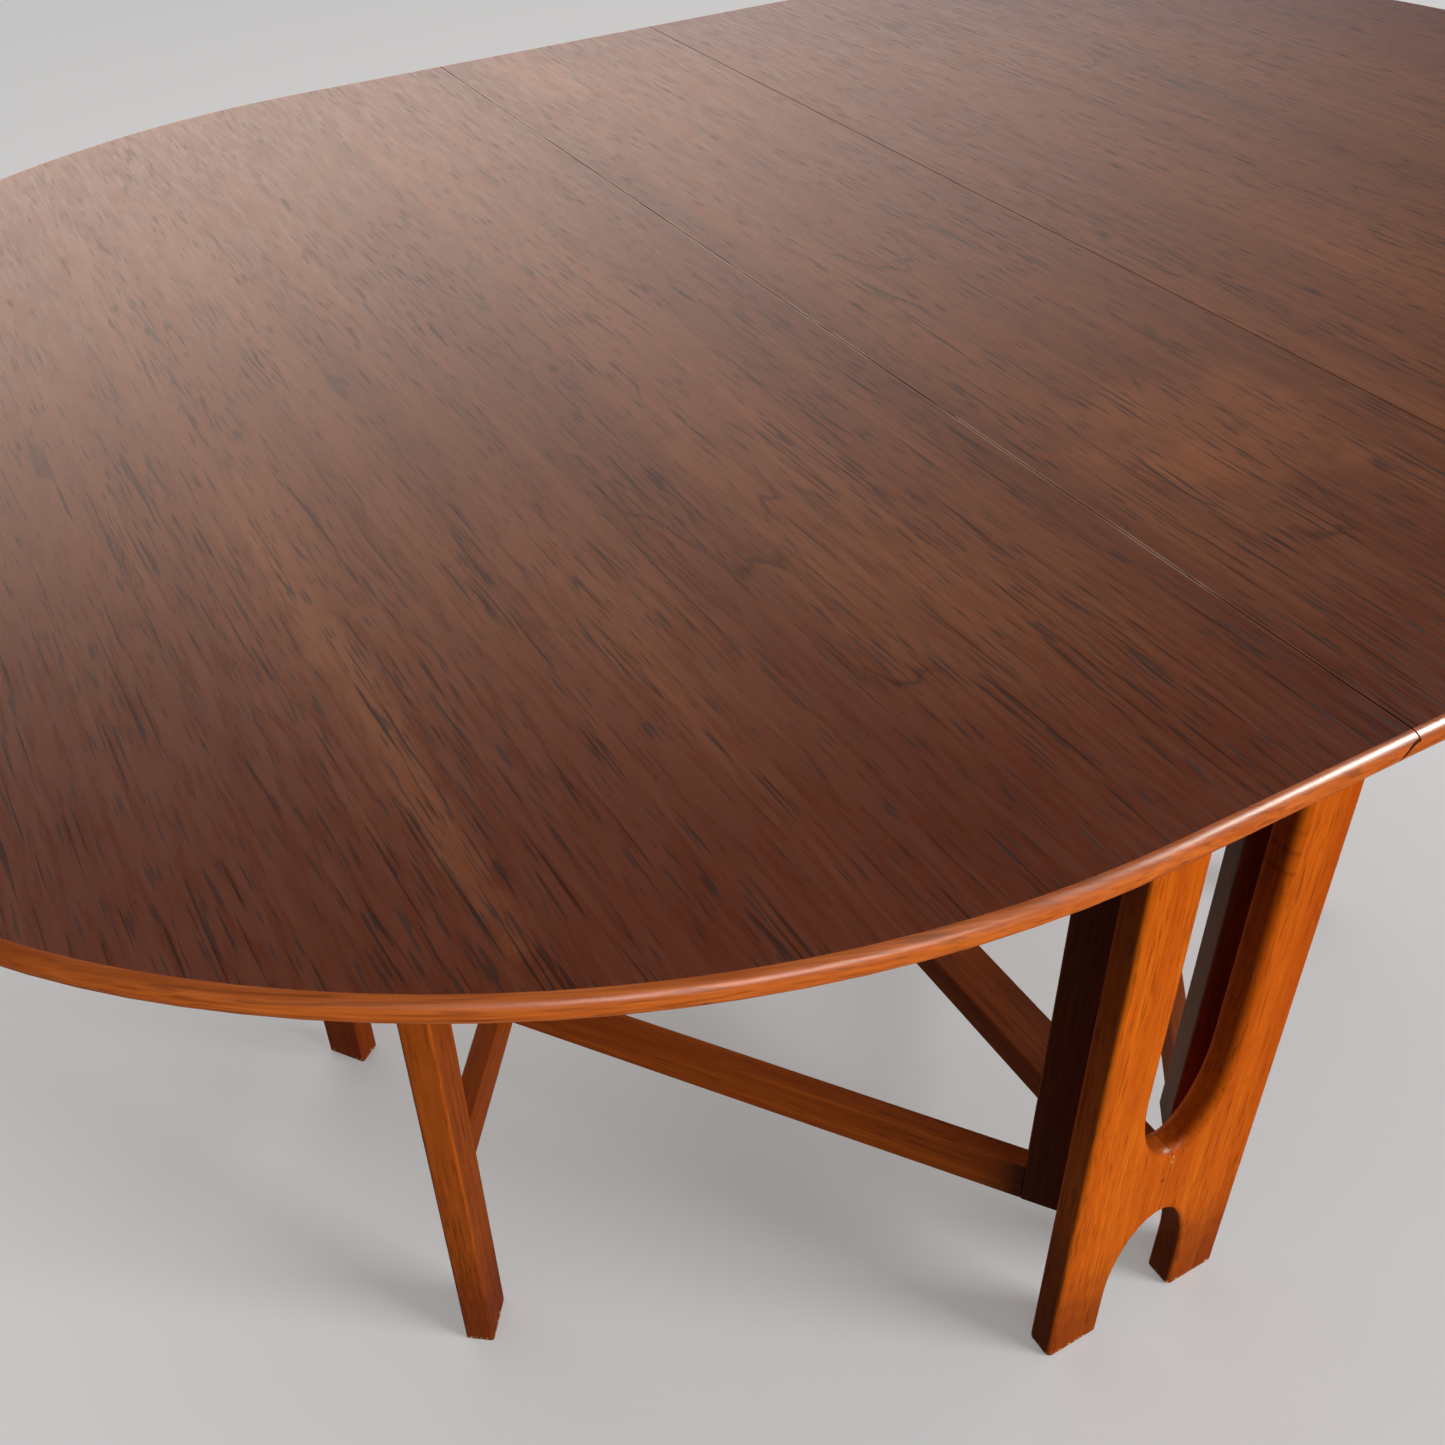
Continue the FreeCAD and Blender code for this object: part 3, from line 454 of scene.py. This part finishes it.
def foot_marks(graph, tone, rough):
    """Feet darker towards the bottom, with pale chips knocked along the bottom arrises."""
    z = graph.split(graph.place())[2]
    uneven = graph.math("SUBTRACT", z, graph.times(graph.grit(55, 4.0, 0.65), 0.08))
    # the feet get darker towards the bottom, along a ragged line
    tone = graph.mix(graph.fade(uneven, -0.02, 0.10, 0.65), tone, FOOT_DARK)
    nick = graph.ramp(graph.grit(330), 0.58, 0.64)
    edge = graph.fade(z, 0.003, 0.006)
    return graph.mix(graph.times(nick, edge), tone, CHIP), rough


def frame_marks(graph, tone, rough):
    """Feet, the joint line, old glue, cutter ripples in the cut-out painted as bands of shade,
    and a small knot.
    """
    tone, rough = foot_marks(graph, tone, rough)
    x, _, z = graph.split(graph.place())
    off = graph.math("ABSOLUTE", x)
    tone = graph.mix(graph.fade(off, 0.0003, 0.0007, 0.55), tone, STAIN)
    crumbs = graph.ramp(graph.grit(500, 1.0), 0.55, 0.62)
    crumbs = graph.times(crumbs, graph.fade(z, *GLUE_TOP))
    crumbs = graph.times(crumbs, graph.fade(off, 0.0008, 0.0016))
    crumbs = graph.times(crumbs, graph.ramp(z, *GLUE_BOTTOM))
    tone = graph.mix(crumbs, tone, CHIP)
    # cutter ripples: real tool marks, drawn as dark bands of painted shade
    ripple = graph.ramp(graph.math("SINE", graph.times(z, RIPPLE_WAVE)), 0.55, 1.0)
    ripple = graph.times(ripple, graph.ramp(z, *RIPPLE_BOTTOM))
    ripple = graph.times(ripple, graph.fade(z, *RIPPLE_TOP))
    ripple = graph.times(ripple, graph.fade(off, *CUT_OUT_HALF))
    tone = graph.mix(graph.times(ripple, 0.45), tone, EDGE_DARK)
    knot = blot(graph, *FRAME_KNOT, ragged=0.3)
    return graph.mix(graph.times(knot, 0.8), tone, STAIN), rough


def raw_post_marks(graph, tone, rough):
    """The face of the right front gate's post that looks into the table is left raw."""
    tone, rough = foot_marks(graph, tone, rough)
    angle = math.radians(GATE_ANGLE)
    inward = (-math.cos(angle), math.sin(angle), 0)
    offset = graph.vector("SUBTRACT", graph.place(), (GATE_AXIS[0], -GATE_AXIS[1], 0))
    deep = graph.vector("DOT_PRODUCT", offset, inward)
    return graph.mix(graph.ramp(deep, *POST_FACE, 0.0, 0.85), tone, RAW), rough


def rails(*gates):
    """The names of both rails of each gate."""
    return [f"{gate}_gate_{rail}" for gate in gates for rail in ("lower_rail", "upper_rail")]


def dress_table():
    veneer = dict(way=0.0, dark=VENEER_DARK, mid=VENEER_MID, light=VENEER_LIGHT, pores=0.8,
                  streaks=0.45, bands=0.35, roughness=0.28, specular=0.45)
    dress(wood("veneer_left", seed=1.0, arches=(-0.265,), extra=left_leaf_marks, **veneer),
          "left_leaf_veneer")
    dress(wood("veneer_centre", seed=23.0, arches=(-0.022,), extra=centre_marks, **veneer),
          "centre_board_veneer")
    # the right leaf's only mark is the painted shade towards its edge
    dress(wood("veneer_right", seed=41.0, arches=(0.36,), extra=painted_rim_shade, **veneer),
          "right_leaf_veneer")

    edge = dict(dark=EDGE_DARK, mid=EDGE_MID, light=EDGE_LIGHT, pores=0.4, streaks=0.6,
                bands=0.7, roughness=0.30)
    dress(wood("lipping", "edge", seed=5.0, extra=lipping_marks, **edge),
          *[name for name in nodes if name.endswith("_lipping")])

    gate = dict(dark=GATE_DARK, mid=GATE_MID, light=GATE_LIGHT, pores=0.4, bands=0.6,
                specular=0.2)
    dress(wood("gate_leg", "up", seed=9.0, extra=foot_marks, **gate),
          *[name for name in nodes if name.endswith("_gate_leg")])
    dress(wood("gate_post", "up", seed=10.0, extra=foot_marks, **gate),
          "front_left_gate_post", "back_left_gate_post", "back_right_gate_post")
    dress(wood("raw_post", "up", seed=8.0, extra=raw_post_marks, **gate),
          "front_right_gate_post")
    dress(wood("rail_one", -GATE_ANGLE, seed=14.0, **gate),
          *rails("front_left", "back_right"), "left_leaf_gate_stops")
    dress(wood("rail_two", GATE_ANGLE, seed=17.0, **gate),
          *rails("back_left", "front_right"), "right_leaf_gate_stops")
    dress(wood("rail_straight", 0.0, seed=19.0, **gate),
          "bottom_stretcher", "left_top_rail", "right_top_rail",
          *[name for name in nodes if name.endswith(("_cove_strip", "_ovolo_strip"))])

    upright = dict(dark=FRAME_DARK, mid=FRAME_MID, light=FRAME_LIGHT, pores=0.4, streaks=0.45,
                   bands=0.6, specular=0.1)
    dress(wood("frame_left", "up", seed=12.0, extra=frame_marks, **upright),
          "front_frame_left_half", "back_frame_right_half")
    dress(wood("frame_right", "up", seed=31.0, extra=frame_marks, **upright),
          "front_frame_right_half", "back_frame_left_half")

    dress(wood("board", 0.0, BOARD_DARK, BOARD_MID, BOARD_LIGHT, seed=27.0, pores=0.3,
               roughness=0.5),
          "left_leaf_core", "right_leaf_core", "centre_board_core")
    dress(metal("bronzed_hinge", *HINGE, roughness=0.42),
          *[name for name in nodes if "plates" in name])
    dress(metal("steel", *STEEL, roughness=0.35),
          *[name for name in nodes if "screws" in name or "pins" in name])


# ---------------------------------------------------------------- floor and light
# the floor starts to fade at FLOOR_NEAR metres from the table, and is all backdrop at FLOOR_FAR
FLOOR_HALF = 14.0
FLOOR_NEAR = 2.5
FLOOR_FAR = 6.5
FLOOR_SHADE = 0.62
FLOOR_GLOW = 0.17
BACKDROP = 0.53
AMBIENT = 0.055

# the window: half its width in radians, and how high up the sky it fades in and out, where
# 0 is level and 1 is overhead
WINDOW_GLOW = 2.8
WINDOW_TINT = (1.0, 0.80, 0.68, 1)
WINDOW_HALF = 1.2
WINDOW_BOTTOM = (0.0, 0.12)
WINDOW_TOP = (0.36, 0.57)

WHITE = (1.0, 1.0, 1.0)
KEY_TINT = (1.0, 0.96, 0.90)
RIM_TINT = (1.0, 0.94, 0.86)


def make_floor():
    """A pale matt floor that fades into the backdrop, so that it has no horizon."""
    mesh = bpy.data.meshes.new("floor")
    corners = [(x * FLOOR_HALF, y * FLOOR_HALF, 0)
               for x, y in ((-1, -1), (1, -1), (1, 1), (-1, 1))]
    mesh.from_pydata(corners, [], [(0, 1, 2, 3)])
    floor = bpy.data.objects.new("floor", mesh)
    scene.collection.objects.link(floor)
    graph = Graph("floor")
    reach = graph.vector("LENGTH", graph.place())
    grey = graph.mix(graph.ramp(reach, FLOOR_NEAR, FLOOR_FAR),
                     (FLOOR_SHADE, FLOOR_SHADE, FLOOR_SHADE, 1), (0, 0, 0, 1))
    glow = graph.ramp(reach, FLOOR_NEAR, FLOOR_FAR, FLOOR_GLOW, BACKDROP)
    graph.put(grey, graph.shader.inputs["Base Color"])
    graph.put(glow, graph.shader.inputs["Emission Strength"])
    graph.shader.inputs["Emission Color"].default_value = (*WHITE, 1)
    graph.shader.inputs["Roughness"].default_value = 0.9
    graph.shader.inputs["Specular IOR Level"].default_value = 0.0
    mesh.materials.append(graph.material)
    floor.visible_diffuse = False
    floor.visible_glossy = False
    return floor


def area_light(name, place, target, size, radiance, tint=WHITE, diffuse=True, glossy=True,
               only=None, skip=None):
    """A rectangular soft box. radiance is how bright its face looks.

    only is the one object it lights, and skip is the one object it leaves out.
    """
    data = bpy.data.lights.new(name, "AREA")
    data.shape = "RECTANGLE"
    data.size, data.size_y = size
    data.energy = radiance * size[0] * size[1] * math.pi
    data.color = tint
    light = bpy.data.objects.new(name, data)
    scene.collection.objects.link(light)
    light.location = place
    aim = Vector(target) - Vector(place)
    light.rotation_euler = aim.to_track_quat("-Z", "Y").to_euler()
    light.visible_diffuse = diffuse
    light.visible_glossy = glossy
    if only or skip:
        group = bpy.data.collections.new(name + "_receivers")
        group.objects.link(only or skip)
        if skip:
            group.collection_objects[0].light_linking.link_state = "EXCLUDE"
        light.light_linking.receiver_collection = group


def make_world():
    """A dim studio with one wide bright window low behind the table."""
    world = bpy.data.worlds.new("studio")
    world.use_nodes = True
    tree = world.node_tree

    def ramp(value, low, high, out_low, out_high):
        made = tree.nodes.new("ShaderNodeMapRange")
        made.interpolation_type = "SMOOTHSTEP"
        tree.links.new(value, made.inputs["Value"])
        for socket, number in zip(made.inputs[1:5], (low, high, out_low, out_high)):
            socket.default_value = number
        return made.outputs["Result"]

    def math_node(operation, a, b=0.0):
        made = tree.nodes.new("ShaderNodeMath")
        made.operation = operation
        for socket, value in zip(made.inputs, (a, b)):
            if isinstance(value, bpy.types.NodeSocket):
                tree.links.new(value, socket)
            else:
                socket.default_value = value
        return made.outputs[0]

    parts = tree.nodes.new("ShaderNodeSeparateXYZ")
    tree.links.new(tree.nodes.new("ShaderNodeTexCoord").outputs["Generated"], parts.inputs[0])
    x, y, z = parts.outputs
    azimuth = math_node("ABSOLUTE", math_node("ARCTAN2", x, y))
    window = math_node("MULTIPLY", ramp(azimuth, 0.0, WINDOW_HALF, 1.0, 0.0),
                       ramp(z, *WINDOW_TOP, 1.0, 0.0))
    window = math_node("MULTIPLY", window, ramp(z, *WINDOW_BOTTOM, 0.0, 1.0))
    seen = tree.nodes["Background"]
    seen.inputs["Color"].default_value = (BACKDROP, BACKDROP, BACKDROP, 1)
    lit = tree.nodes.new("ShaderNodeBackground")
    tint = tree.nodes.new("ShaderNodeMix")
    tint.data_type = "RGBA"
    tree.links.new(window, tint.inputs["Factor"])
    tint.inputs["A"].default_value = (*WHITE, 1)
    tint.inputs["B"].default_value = WINDOW_TINT
    tree.links.new(tint.outputs["Result"], lit.inputs["Color"])
    glow = math_node("ADD", math_node("MULTIPLY", window, WINDOW_GLOW), AMBIENT)
    tree.links.new(glow, lit.inputs["Strength"])
    choose = tree.nodes.new("ShaderNodeMixShader")
    camera_ray = tree.nodes.new("ShaderNodeLightPath").outputs["Is Camera Ray"]
    tree.links.new(camera_ray, choose.inputs[0])
    tree.links.new(lit.outputs[0], choose.inputs[1])
    tree.links.new(seen.outputs[0], choose.inputs[2])
    tree.links.new(choose.outputs[0], tree.nodes["World Output"].inputs["Surface"])
    scene.world = world


def make_lights(floor):
    """Two soft boxes light the table, two only shine on it, and two light only the floor."""
    make_world()
    area_light("key", place=(1.8, -7.3, 1.6), target=(0.0, -0.3, 0.45), size=(3.4, 1.8),
               radiance=35.0, tint=KEY_TINT, glossy=False, skip=floor)
    area_light("front_above", place=(-0.8, -3.8, 3.9), target=(-0.2, -0.4, 0.7),
               size=(3.2, 1.6), radiance=10.0, diffuse=False)
    area_light("rim", place=(4.2, -1.7, 3.8), target=(0.0, -0.3, 0.7), size=(1.6, 1.6),
               radiance=110.0, tint=RIM_TINT, diffuse=False)
    area_light("back_above", place=(0.3, 2.6, 2.4), target=(0.0, 0.1, 0.7), size=(3.0, 1.6),
               radiance=5.2, glossy=False, skip=floor)
    area_light("floor_side", place=(7.2, -8.6, 5.5), target=(0.0, 0.0, 0.0), size=(5.2, 5.2),
               radiance=12.0, only=floor)
    area_light("floor_above", place=(0.0, 0.0, 6.0), target=(0.0, 0.0, 0.0),
               size=(14.0, 14.0), radiance=0.58, only=floor)
    scene.view_settings.view_transform = "Standard"


make_camera()
dress_table()
make_lights(make_floor())
